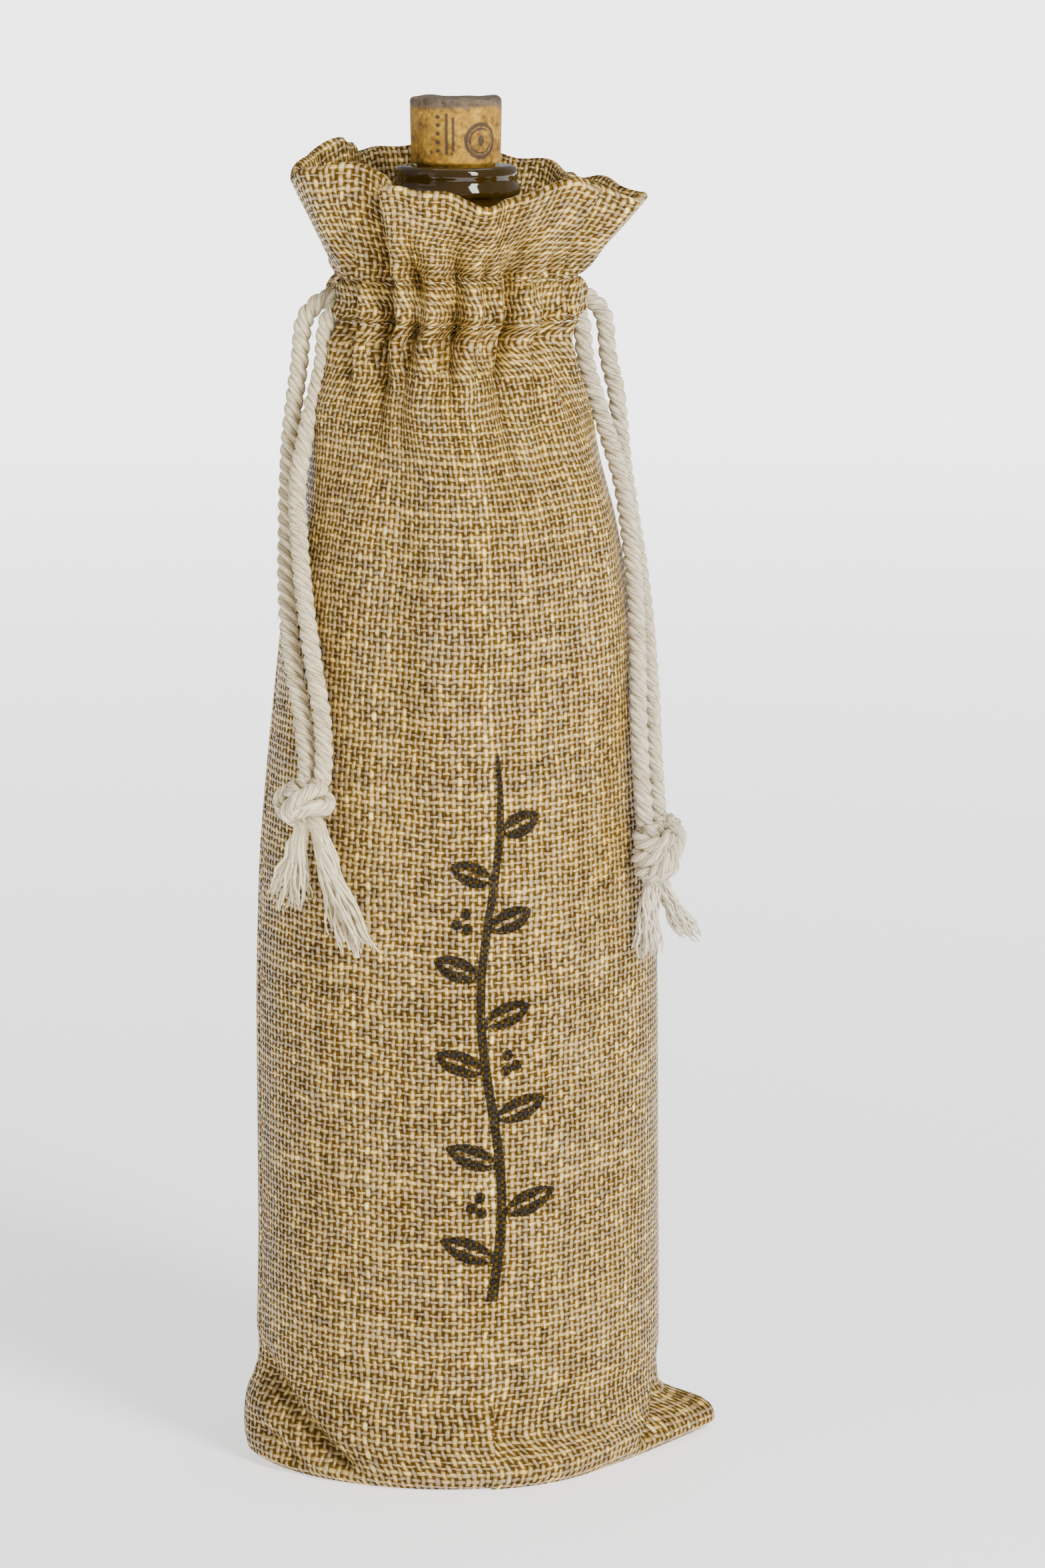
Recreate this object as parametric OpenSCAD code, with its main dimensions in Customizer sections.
// Drawstring wine gift bag, standing round a corked bottle with its mouth drawn in.
// Origin at the centre of the base, on the floor. +Z is up, the printed front faces -Y and the
// side seams stand at -X and +X. All lengths are in millimetres.

/* [Bag] */
// Width of the filled body from side seam to side seam
bag_w = 100; // [98:0.5:104]
// Depth of the filled body from front to back
bag_d = 80.8; // [80.4:0.2:84]
// Distance between the tips of the two bottom corners
corner_span = 126; // [118:1:136]
// Thickness of the woven cloth
cloth_t = 1.0; // [0.8:0.1:1.1]
// Width of the seam allowances inside the bag
allowance_w = 5; // [4:0.5:6]
// Thickness of a seam allowance, which is two pressed edges
allowance_t = 1.2; // [1:0.1:1.3]

/* [Mouth] */
// Height of the stitches under the drawcord channel
channel_z = 279; // [277:0.5:280]
// Height of the drawcord channel between its two rows of stitches
channel_h = 11; // [11:0.5:12]
// Outer radius of the gathered cloth along a row of stitches
gather_r = 27; // [26.5:0.1:27.5]
// Outer radius of the drawcord channel
channel_r = 29.6; // [29.4:0.1:30.5]
// Number of gathers round the mouth
gathers = 12; // [8:1:14]
// Height of a gather at the stitches
gather_h = 1.1; // [0.4:0.1:1.4]
// Mean radius of the frilled rim
rim_r = 38; // [35:0.5:41]
// Mean height of the frilled rim
rim_z = 314; // [308:1:320]
// Number of waves round the rim
rim_waves = 7; // [5:1:8]
// Height of a wave of the rim, in and out
rim_wave_h = 3.4; // [1:0.2:4]
// Rise and fall of the rim along its waves
rim_rise = 2.4; // [0:0.2:4]

/* [Drawcords] */
// Diameter of the twisted cotton cord
cord_d = 4.6; // [4:0.1:4.8]
// Thickness of a flattened tassel
tassel_t = 4; // [3:0.5:5]

/* [Bottle] */
// Diameter of the bottle's body
bottle_d = 75; // [73:0.5:75]
// Height of the bottle
bottle_h = 315.2; // [312:0.2:318]
// Height of the straight side above the bottle's foot
side_h = 189; // [184:1:190]
// Radius of the round shoulder
shoulder_r = 26; // [25:0.5:27]
// Diameter of the glass ring under the mouth
lip_d = 30; // [29:0.2:31]
// Height of the glass ring under the mouth
lip_h = 7.5; // [6:0.5:9]
// Diameter of the bore in the neck
bore_d = 18.5; // [18:0.1:19]
// Thickness of the glass in the bottle's side
glass_t = 3.2; // [2.5:0.1:4]
// Height of the dome pushed up into the bottle's foot
punt_h = 22; // [10:1:28]
// Height of the wine's surface above the bottle's foot
wine_h = 243; // [150:1:250]

/* [Cork] */
// Length of the cork
cork_l = 44; // [38:1:49]
// Length of the cork that stands out of the bottle
cork_out = 16.3; // [12:0.1:20]
// Diameter of the cork where nothing squeezes it
cork_d = 21.8; // [20:0.2:24]

/* [Hidden] */
$fn = 48;

LINEN = [0.72, 0.58, 0.36];
LINEN_DARK = [0.62, 0.49, 0.30];
THREAD = [0.90, 0.85, 0.74];
COTTON = [0.93, 0.90, 0.83];
GLASS = [0.22, 0.20, 0.10];
WINE = [0.25, 0.04, 0.07];
CORK = [0.78, 0.62, 0.40];

HALF_W = bag_w / 2;
HALF_D = bag_d / 2;
TOP_STITCH_Z = channel_z + channel_h;
CHANNEL_MID = channel_z + channel_h / 2;
CORD_R = cord_d / 2;
TIP = corner_span / 2;
QUADRANT = 90;
// Angle at which the edge of a bottom corner leaves the round of the bottle
TANGENT_Q = acos(HALF_D / TIP);

// Half width, half depth and sideways lean of the cloth at each height. The bottle fills the lower
// two thirds and the cloth draws in over its shoulder.
HALF_WIDTHS = [
    [0, HALF_W - 3], [2.5, HALF_W], [24, HALF_W], [60, HALF_W - 0.4], [110, HALF_W - 0.6],
    [145, HALF_W - 1.6], [170, HALF_W - 3.6], [190, HALF_W - 5.6], [206, HALF_W - 7.2],
    [218, HALF_W - 8.8], [229, HALF_W - 10.8], [240, HALF_W - 13.3], [250, HALF_W - 15.6],
    [260, 33], [270, 30], [channel_z, gather_r], [channel_z + 2, channel_r],
    [TOP_STITCH_Z - 2, channel_r], [TOP_STITCH_Z, gather_r], [TOP_STITCH_Z + 5, gather_r + 2],
    [TOP_STITCH_Z + 14, rim_r - 4], [rim_z, rim_r]
];
HALF_DEPTHS = [
    [0, HALF_D - 3], [2.5, HALF_D - 0.6], [8, HALF_D], [206, HALF_D], [218, HALF_D - 0.8],
    [229, HALF_D - 2], [240, HALF_D - 4], [250, HALF_D - 6.6], [260, 30.6], [270, 28.6],
    [channel_z, gather_r], [channel_z + 2, channel_r], [TOP_STITCH_Z - 2, channel_r],
    [TOP_STITCH_Z, gather_r], [TOP_STITCH_Z + 5, gather_r + 2], [TOP_STITCH_Z + 14, rim_r - 4],
    [rim_z, rim_r]
];
LEANS = [[235, 0], [262, -2], [276, -2], [channel_z + 2, 0]];
CORNER_SHARES = [[2.5, 1], [8, 0.72], [15, 0.3], [24, 0]];
GATHER_HEIGHTS = [
    [238, 0], [channel_z, gather_h], [CHANNEL_MID, gather_h * 0.6], [TOP_STITCH_Z, gather_h],
    [TOP_STITCH_Z + 14, 0]
];

// Heights of the rings of points that shape the cloth
BODY_Z = [0, 2.5, 8, 15, 24, 60, 110, 145, 170, 190, 206, 218, 229, 240, 250, 260, 270];
MOUTH_Z = [channel_z, channel_z + 2, TOP_STITCH_Z - 2, TOP_STITCH_Z];
FRILL_Z = [TOP_STITCH_Z + 5, TOP_STITCH_Z + 14, rim_z];
PANEL_Z = concat(BODY_Z, MOUTH_Z, FRILL_Z);
SEAM_Z = [for (z = BODY_Z) if (z > 8) z];
HALF_STEPS = 30;

// The turned-in hem: it lies on the panel, except along the channel where it holds the cords in.
CHANNEL_WALL_R = channel_r - gather_h - cloth_t - cord_d - 0.4;
HEM_OUT_Z = concat([270, channel_z, channel_z + 0.9, TOP_STITCH_Z - 0.9, TOP_STITCH_Z], FRILL_Z);
HEM_IN_Z = concat([270, channel_z - 1.5, channel_z - 0.4, TOP_STITCH_Z + 0.4, TOP_STITCH_Z + 1.5], FRILL_Z);
HEM_CHANNEL_ROWS = [2, 3];

// Seam allowances, which hang a hair's breadth inside the panels
SEAM_GAP = 0.05;
// They are as wide as a whole number of the panels' columns of points, so that they lie flat on them
COLUMN_Q = 180 / HALF_STEPS;
SEAM_COLUMNS = max(1, round(allowance_w / HALF_W * 180 / PI / COLUMN_Q));
SEAM_Q = SEAM_COLUMNS * COLUMN_Q;
BOTTOM_SEAM_L = corner_span - 18;

// Stitches
STITCH_R = 0.25;
STITCH_L = 2.6;
RING_STITCHES = 40;
SEAM_STITCH_L = 2 * STITCH_L;
SEAM_STITCH_PITCH = 10;
FIRST_SEAM_STITCH = 30;
LAST_SEAM_STITCH = 220;
LAST_BOTTOM_STITCH = 45;

// Exit of the cords through the side seams
CORD_RING_R = CHANNEL_WALL_R + 0.2 + CORD_R;
LOWER_LANE_Z = channel_z + 3.1;
UPPER_LANE_Z = TOP_STITCH_Z - 2.9;
LOOP_END_Z = 277;
ELBOW_R = 4.3;
RING_GAP_Q = 14;
SLOT_HALF_W = 5.4;
SLOT_CLEAR = 0.6;
SLOT_DEPTH = 12;

// Routes of the four hanging strands, from under the channel to the knots
LEFT_FRONT_ROUTE = [
    [-35.4, -2.9, 270.5], [-37, -4.2, 262], [-39, -6.4, 252.5], [-40.6, -9, 242], [-41, -12.6, 231],
    [-40.9, -17, 219.5], [-40.3, -21, 209], [-39.4, -24.6, 198.5], [-38.2, -27.6, 187.5],
    [-38.4, -29.8, 177], [-39.8, -30.4, 170.5]
];
LEFT_BACK_ROUTE = [
    [-38, 2.5, 270.5], [-39.4, 1.4, 262], [-40.8, 0, 252.5], [-41.8, -2, 242], [-42.6, -5, 231],
    [-43.5, -9, 219.5], [-43.8, -13.5, 209], [-43.4, -18, 198.5], [-42.2, -22.5, 187.5],
    [-41.8, -26, 177], [-42.6, -28, 170.5]
];
RIGHT_FRONT_ROUTE = [
    [33.6, -2.9, 270.5], [35, -4.4, 262], [37, -6.4, 252], [39, -8.8, 241.5], [40.2, -12, 229.5],
    [40.6, -15.6, 218], [40.4, -19.4, 207], [40, -22.6, 196.5], [39.6, -25.6, 184.5],
    [39.8, -27.8, 172.5], [40.6, -28.8, 160]
];
RIGHT_BACK_ROUTE = [
    [38.4, 2.5, 270.5], [40, 1.4, 262], [40.8, 0.4, 252], [41.6, -1.2, 241.5], [43, -3.6, 229.5],
    [44.2, -6.6, 218], [44.8, -10, 207], [44.8, -14, 196.5], [44.6, -18.4, 184.5],
    [44.2, -22.6, 172.5], [44.6, -26, 160]
];
TUBE_SIDES = 8;
// Rings of a strand's round top end: how far above its first point and how wide, in cord radii
TOP_RINGS = [[0.95, 0.31], [0.7, 0.71], [0.38, 0.92]];
LEFT_KNOT = [-42, -29.9, 168.5];
RIGHT_KNOT = [43.2, -28.8, 153.5];
KNOT_TURN = 46.7;
KNOT_CORE_R = 4.4;
KNOT_LOBE_R = 3.2;
LEFT_KNOT_TURN_R = 3.5;
RIGHT_KNOT_TURN_R = 4.6;

// Bottle
FOOT_Z = cloth_t + allowance_t + 0.2;
BOTTLE_R = bottle_d / 2;
LIP_Z = FOOT_Z + bottle_h;
FOOT_EDGE_R = 5;
SHOULDER_SWEEP = 60;
NECK_R = 15.5;
NECK_TOP_R = 13.9;
CORK_FIT = 0.05;
WINE_FIT = 0.05;
LIP_BASE_Z = LIP_Z - lip_h;
LIP_TOP_R = lip_d / 2 - 0.5;
BORE_R = bore_d / 2;
BORE_L = 46;
PUNT_R = BOTTLE_R - FOOT_EDGE_R - 4;

// ---- Cloth outline -------------------------------------------------------------------------

// Radius of the pointed outline that the two flat bottom corners give the cloth
function corner_radius(q, inset) =
    let (fold = asin(abs(sin(q))))
    (HALF_D - inset) / cos(max(TANGENT_Q - fold, 0));

function oval_radius(z, q, inset) =
    let (a = lookup(z, HALF_WIDTHS) - inset, b = lookup(z, HALF_DEPTHS) - inset)
    1 / sqrt(pow(cos(q) / a, 2) + pow(sin(q) / b, 2));

function frill_share(z) = max(0, (z - TOP_STITCH_Z) / (rim_z - TOP_STITCH_Z));

// Radius of the cloth at a height and an angle, with an inset from its outer face
function cloth_radius(z, q, inset) =
    let (share = lookup(z, CORNER_SHARES), floor_inset = inset + 2 - lookup(z, [[0, 0], [2.5, 2]]))
    share * corner_radius(q, floor_inset) + (1 - share) * oval_radius(z, q, inset)
    + lookup(z, GATHER_HEIGHTS) * cos(gathers * q)
    + rim_wave_h * frill_share(z) * cos(rim_waves * q + 40);

function rim_lift(z, q) = rim_rise * frill_share(z) * cos(rim_waves * q - 30);

function ring_point(z, q, r) = [lookup(z, LEANS) + r * cos(q), r * sin(q), z + rim_lift(z, q)];

function cloth_point(z, q, inset) = ring_point(z, q, cloth_radius(z, q, inset));

// ---- Mesh helpers --------------------------------------------------------------------------

// Closed wall between an outer and an inner grid of points, each [row][column]
module wall(outer, inner) {
    rows = len(outer);
    cols = len(outer[0]);
    points = [for (grid = [outer, inner]) for (row = grid) for (p = row) p];
    half = rows * cols;
    faces = concat(
        [for (i = [0:rows - 2]) for (j = [0:cols - 2])
            [i * cols + j, i * cols + j + 1, (i + 1) * cols + j + 1]],
        [for (i = [0:rows - 2]) for (j = [0:cols - 2])
            [i * cols + j, (i + 1) * cols + j + 1, (i + 1) * cols + j]],
        [for (i = [0:rows - 2]) for (j = [0:cols - 2])
            [half + i * cols + j, half + (i + 1) * cols + j + 1, half + i * cols + j + 1]],
        [for (i = [0:rows - 2]) for (j = [0:cols - 2])
            [half + i * cols + j, half + (i + 1) * cols + j, half + (i + 1) * cols + j + 1]],
        [for (j = [0:cols - 2]) each [
            [j, half + j, half + j + 1], [j, half + j + 1, j + 1]]],
        [for (j = [0:cols - 2]) let (o = (rows - 1) * cols + j) each [
            [o, o + 1, half + o + 1], [o, half + o + 1, half + o]]],
        [for (i = [0:rows - 2]) let (o = i * cols) each [
            [o, o + cols, half + o + cols], [o, half + o + cols, half + o]]],
        [for (i = [0:rows - 2]) let (o = i * cols + cols - 1) each [
            [o, half + o, half + o + cols], [o, half + o + cols, o + cols]]]
    );
    polyhedron(points, [for (f = faces) [f[2], f[1], f[0]]], convexity = 6);
}

// Round cord swept along a route of points, with a round top end
module hanging_cord(route) {
    down = (route[1] - route[0]) / norm(route[1] - route[0]);
    centres = concat([for (c = TOP_RINGS) route[0] - c[0] * CORD_R * down], route);
    radii = concat([for (c = TOP_RINGS) c[1] * CORD_R], [for (p = route) CORD_R]);
    n = len(centres);
    rings = [for (i = [0:n - 1])
        let (
            ahead = centres[min(i + 1, n - 1)] - centres[max(i - 1, 0)],
            side = cross(ahead, [0, 1, 0]),
            u = side / norm(side),
            v = cross(ahead, u) / norm(ahead)
        )
        [for (k = [0:TUBE_SIDES - 1])
            let (q = 360 * k / TUBE_SIDES) centres[i] + radii[i] * (cos(q) * u + sin(q) * v)]];
    faces = concat(
        [[for (k = [0:TUBE_SIDES - 1]) k]],
        [[for (k = [TUBE_SIDES - 1:-1:0]) (n - 1) * TUBE_SIDES + k]],
        [for (i = [0:n - 2]) for (k = [0:TUBE_SIDES - 1])
            let (a = i * TUBE_SIDES + k, b = i * TUBE_SIDES + (k + 1) % TUBE_SIDES)
            each [[a, b + TUBE_SIDES, b], [a, a + TUBE_SIDES, b + TUBE_SIDES]]]
    );
    polyhedron([for (ring = rings) for (p = ring) p], faces, convexity = 4);
}

// Points of an arc in a profile, from angle q0 to angle q1
function arc(cx, cy, r, q0, q1, n) =
    [for (i = [0:n]) let (q = q0 + (q1 - q0) * i / n) [cx + r * cos(q), cy + r * sin(q)]];

// ---- Cloth ---------------------------------------------------------------------------------

function half_angles(q0) = [for (j = [0:HALF_STEPS]) q0 + 180 * j / HALF_STEPS];

// One half of the bag: the wall and the part of the floor under its half of the bottle
module panel(q0) {
    qs = half_angles(q0);
    floor_line = [for (q = qs) let (p = cloth_point(0, q, cloth_t / 2)) [p[0], p[1]]];
    difference() {
        union() {
            wall(
                [for (z = PANEL_Z) [for (q = qs) cloth_point(z, q, 0)]],
                [for (z = PANEL_Z) [for (q = qs) cloth_point(z, q, cloth_t)]]
            );
            linear_extrude(cloth_t) polygon(floor_line);
        }
        // Cord exits at the two side seams
        for (side = [-1, 1])
            translate([side * channel_r, 0, CHANNEL_MID])
                cube([SLOT_DEPTH, 2 * SLOT_HALF_W, channel_h - 2 * SLOT_CLEAR], center = true);
    }
}

// The folded-in top edge of one panel, which makes the frill double and closes the channel
module hem(q0) {
    qs = half_angles(q0);
    last = len(HEM_OUT_Z) - 1;
    function held(i) = len(search(i, HEM_CHANNEL_ROWS)) > 0;
    wall(
        [for (i = [0:last]) [for (q = qs) held(i)
            ? ring_point(HEM_OUT_Z[i], q, CHANNEL_WALL_R)
            : cloth_point(HEM_OUT_Z[i], q, cloth_t)]],
        [for (i = [0:last]) [for (q = qs) held(i)
            ? ring_point(HEM_IN_Z[i], q, CHANNEL_WALL_R - cloth_t)
            : cloth_point(HEM_IN_Z[i], q, 2 * cloth_t)]]
    );
}

module front_panel() { color(LINEN) panel(180); }
module back_panel() { color(LINEN) panel(0); }
module front_hem() { color(LINEN_DARK) hem(180); }
module back_hem() { color(LINEN_DARK) hem(0); }

// Pressed seam allowance on the inside of the back panel, from angle q0 to angle q1
module side_seam(q0, q1) {
    qs = [for (j = [0:SEAM_COLUMNS]) q0 + (q1 - q0) * j / SEAM_COLUMNS];
    color(LINEN_DARK) wall(
        [for (z = SEAM_Z) [for (q = qs) cloth_point(z, q, cloth_t + SEAM_GAP)]],
        [for (z = SEAM_Z) [for (q = qs) cloth_point(z, q, cloth_t + SEAM_GAP + allowance_t)]]
    );
}
module left_side_seam() { side_seam(180 - SEAM_Q, 180); }
module right_side_seam() { side_seam(0, SEAM_Q); }

module bottom_seam() {
    color(LINEN_DARK)
        translate([-BOTTOM_SEAM_L / 2, 0, cloth_t])
            cube([BOTTOM_SEAM_L, allowance_w, allowance_t]);
}

// ---- Stitches ------------------------------------------------------------------------------

// A row of stitches round the gathered cloth
module stitch_ring(z) {
    color(THREAD)
        for (k = [0:RING_STITCHES - 1])
            let (q = 360 * (k + 0.5) / RING_STITCHES)
                translate(cloth_point(z, q, 0))
                    rotate([90, 0, q])
                        cylinder(r = STITCH_R, h = STITCH_L, center = true, $fn = 16);
}
module upper_stitching() { stitch_ring(TOP_STITCH_Z); }
module lower_stitching() { stitch_ring(channel_z); }

// A row of stitches up a side seam, on the inner face of its allowance
module seam_thread(q) {
    color(THREAD)
        for (z = [FIRST_SEAM_STITCH:SEAM_STITCH_PITCH:LAST_SEAM_STITCH])
            translate(cloth_point(z, q, cloth_t + SEAM_GAP + allowance_t))
                cylinder(r = STITCH_R, h = SEAM_STITCH_L, center = true, $fn = 16);
}
module left_seam_thread() { seam_thread(180 - SEAM_Q / 3); }
module right_seam_thread() { seam_thread(SEAM_Q / 3); }

module bottom_seam_thread() {
    color(THREAD)
        for (x = [-LAST_BOTTOM_STITCH:SEAM_STITCH_PITCH:LAST_BOTTOM_STITCH])
            translate([x, allowance_w / 3, cloth_t + allowance_t - STITCH_R])
                rotate([0, 90, 0])
                    cylinder(r = STITCH_R, h = SEAM_STITCH_L, center = true, $fn = 16);
}

// ---- Drawcords -----------------------------------------------------------------------------

// Wedge between the angles q0 and q1, used to cut a ring of cord to length
module wedge(q0, q1, reach) {
    linear_extrude(cord_d * 2, center = true)
        polygon([[0, 0], for (i = [0:4]) let (q = q0 + (q1 - q0) * i / 4) reach * [cos(q), sin(q)]]);
}

// Bend of cord about Z, from angle q0 to angle q1
module bend(r, q0, q1) {
    intersection() {
        rotate_extrude() translate([r, 0]) circle(CORD_R);
        wedge(q0, q1, 2 * (r + cord_d));
    }
}

// One end of a cord, from the ring in the channel out through the side and down.
// drop_x is how far from the bag's axis it turns down.
module cord_exit(z, drop_x) {
    bend_x = (CORD_RING_R + ELBOW_R) * cos(RING_GAP_Q);
    bend_y = (CORD_RING_R + ELBOW_R) * sin(RING_GAP_Q);
    arm_y = bend_y - ELBOW_R;
    translate([bend_x, bend_y, z]) bend(ELBOW_R, 180 + RING_GAP_Q, 270);
    translate([bend_x, arm_y, z])
        rotate([0, 90, 0])
            cylinder(r = CORD_R, h = drop_x - ELBOW_R - bend_x);
    translate([drop_x - ELBOW_R, arm_y, z - ELBOW_R]) rotate([90, 0, 0]) bend(ELBOW_R, 0, QUADRANT);
    translate([drop_x, arm_y, LOOP_END_Z]) cylinder(r = CORD_R, h = z - ELBOW_R - LOOP_END_Z);
}

// The hidden turn of a cord inside the channel, with its two ends out at +X
module cord_loop(z, front_x, back_x) {
    translate([0, 0, z])
        difference() {
            rotate_extrude() translate([CORD_RING_R, 0]) circle(CORD_R);
            wedge(-RING_GAP_Q, RING_GAP_Q, 2 * CORD_RING_R);
        }
    cord_exit(z, back_x);
    mirror([0, 1, 0]) cord_exit(z, front_x);
}
module left_cord_loop() {
    color(COTTON)
        mirror([1, 0, 0])
            cord_loop(LOWER_LANE_Z, -LEFT_FRONT_ROUTE[0][0], -LEFT_BACK_ROUTE[0][0]);
}
module right_cord_loop() {
    color(COTTON) cord_loop(UPPER_LANE_Z, RIGHT_FRONT_ROUTE[0][0], RIGHT_BACK_ROUTE[0][0]);
}

// A hanging strand of a drawcord, free to swing under the channel
module strand(route) { color(COTTON) hanging_cord(route); }
module left_strand_front() { strand(LEFT_FRONT_ROUTE); }
module left_strand_back() { strand(LEFT_BACK_ROUTE); }
module right_strand_front() { strand(RIGHT_FRONT_ROUTE); }
module right_strand_back() { strand(RIGHT_BACK_ROUTE); }

// Overhand knot: one turn round the cords and one turn over the front.
// Local X runs along the cloth and local -Y points away from it.
module knot(tall, lobe_x) {
    color(COTTON) {
        rotate_extrude() translate([CORD_R + 1.5, 0]) circle(CORD_R);
        rotate([90, 0, 0]) rotate_extrude() translate([tall, 0]) circle(CORD_R);
        sphere(KNOT_CORE_R);
        translate([lobe_x, 0, -0.8]) sphere(KNOT_LOBE_R);
    }
}
module left_knot() {
    translate(LEFT_KNOT) rotate([0, 0, -KNOT_TURN]) knot(LEFT_KNOT_TURN_R, -5);
}
module right_knot() {
    translate(RIGHT_KNOT) rotate([0, 0, KNOT_TURN]) knot(RIGHT_KNOT_TURN_R, 2);
}

// Frayed ends of the cords, pressed flat along the cloth
module tassel(outline) {
    color(COTTON)
        translate([0, tassel_t / 2 + 1, 0])
            rotate([90, 0, 0])
                linear_extrude(tassel_t) polygon(outline);
}
module left_tassel() {
    translate(LEFT_KNOT) rotate([0, 0, -KNOT_TURN])
        tassel([[-3, -4], [-13, -20], [-9, -24], [-1, -21], [4, -35], [15, -32], [4, -4]]);
}
module right_tassel() {
    translate(RIGHT_KNOT) rotate([0, 0, KNOT_TURN])
        tassel([[-3, -5], [-4, -27], [2, -27], [4, -20], [11, -22], [12, -19], [3, -5]]);
}

// ---- Bottle, wine and cork -----------------------------------------------------------------

// Profile of the bottle from the edge of its foot to the top of its neck, grown outwards by d
function side_profile(d) =
    let (
        r = BOTTLE_R + d,
        shoulder_z = FOOT_Z + side_h,
        cx = BOTTLE_R - shoulder_r,
        bend_x = cx + shoulder_r * cos(SHOULDER_SWEEP),
        bend_z = shoulder_z + shoulder_r * sin(SHOULDER_SWEEP),
        inner_r = (bend_x - NECK_R) / (1 - cos(SHOULDER_SWEEP)),
        hollow_x = bend_x + inner_r * cos(SHOULDER_SWEEP),
        hollow_z = bend_z + inner_r * sin(SHOULDER_SWEEP)
    )
    concat(
        arc(BOTTLE_R - FOOT_EDGE_R, FOOT_Z + FOOT_EDGE_R, FOOT_EDGE_R + d, -90, 0, 6),
        arc(cx, shoulder_z, shoulder_r + d, 0, SHOULDER_SWEEP, 12),
        arc(hollow_x, hollow_z, inner_r - d, 180 + SHOULDER_SWEEP, 180, 8)
    );

module bottle() {
    outer = concat(
        [[0, FOOT_Z + punt_h], [PUNT_R * 0.5, FOOT_Z + punt_h * 0.8], [PUNT_R, FOOT_Z]],
        side_profile(0),
        [[NECK_TOP_R, LIP_BASE_Z - 1], [lip_d / 2 - 0.4, LIP_BASE_Z], [lip_d / 2, LIP_BASE_Z + 1]],
        [[lip_d / 2, LIP_BASE_Z + 2.5], [LIP_TOP_R, LIP_BASE_Z + 4]],
        arc(LIP_TOP_R - 1.5, LIP_Z - 1.5, 1.5, 0, 90, 5),
        [[0, LIP_Z]]
    );
    color(GLASS)
        difference() {
            rotate_extrude($fn = 64) polygon(outer);
            rotate_extrude($fn = 64) polygon(hollow_profile(0, LIP_Z - BORE_L));
            translate([0, 0, LIP_Z - BORE_L - 1]) cylinder(r = BORE_R, h = BORE_L + 2);
        }
}

// Inside of the bottle up to a level, shrunk by fit
function hollow_profile(fit, top_z) =
    let (
        d = glass_t + fit,
        side = [for (p = side_profile(-d)) if (p[1] < top_z) p]
    )
    concat(
        [[0, FOOT_Z + punt_h + d + 2], [PUNT_R * 0.5, FOOT_Z + punt_h * 0.8 + d + 2]],
        [[PUNT_R, FOOT_Z + 2 * d]],
        [for (p = side) [p[0], max(p[1], FOOT_Z + 2 * d)]],
        [[min(side[len(side) - 1][0], NECK_R - d), top_z], [0, top_z]]
    );

module wine() {
    color(WINE) rotate_extrude($fn = 64) polygon(hollow_profile(WINE_FIT, FOOT_Z + wine_h));
}

module cork() {
    in_l = cork_l - cork_out;
    r = cork_d / 2;
    in_r = BORE_R - CORK_FIT;
    color(CORK)
        translate([0, 0, LIP_Z])
            rotate_extrude($fn = 64)
                polygon(concat(
                    [[0, -in_l], [in_r - 0.8, -in_l], [in_r, -in_l + 0.8], [in_r, CORK_FIT]],
                    [[r - 0.9, CORK_FIT], [r - 0.4, 1]],
                    arc(r - 1, cork_out - 1, 1, 0, 90, 5),
                    [[0, cork_out]]
                ));
}

front_panel();
back_panel();
front_hem();
back_hem();
left_side_seam();
right_side_seam();
bottom_seam();
left_seam_thread();
right_seam_thread();
bottom_seam_thread();
upper_stitching();
lower_stitching();
left_cord_loop();
right_cord_loop();
left_strand_front();
left_strand_back();
right_strand_front();
right_strand_back();
left_knot();
right_knot();
left_tassel();
right_tassel();
bottle();
wine();
cork();
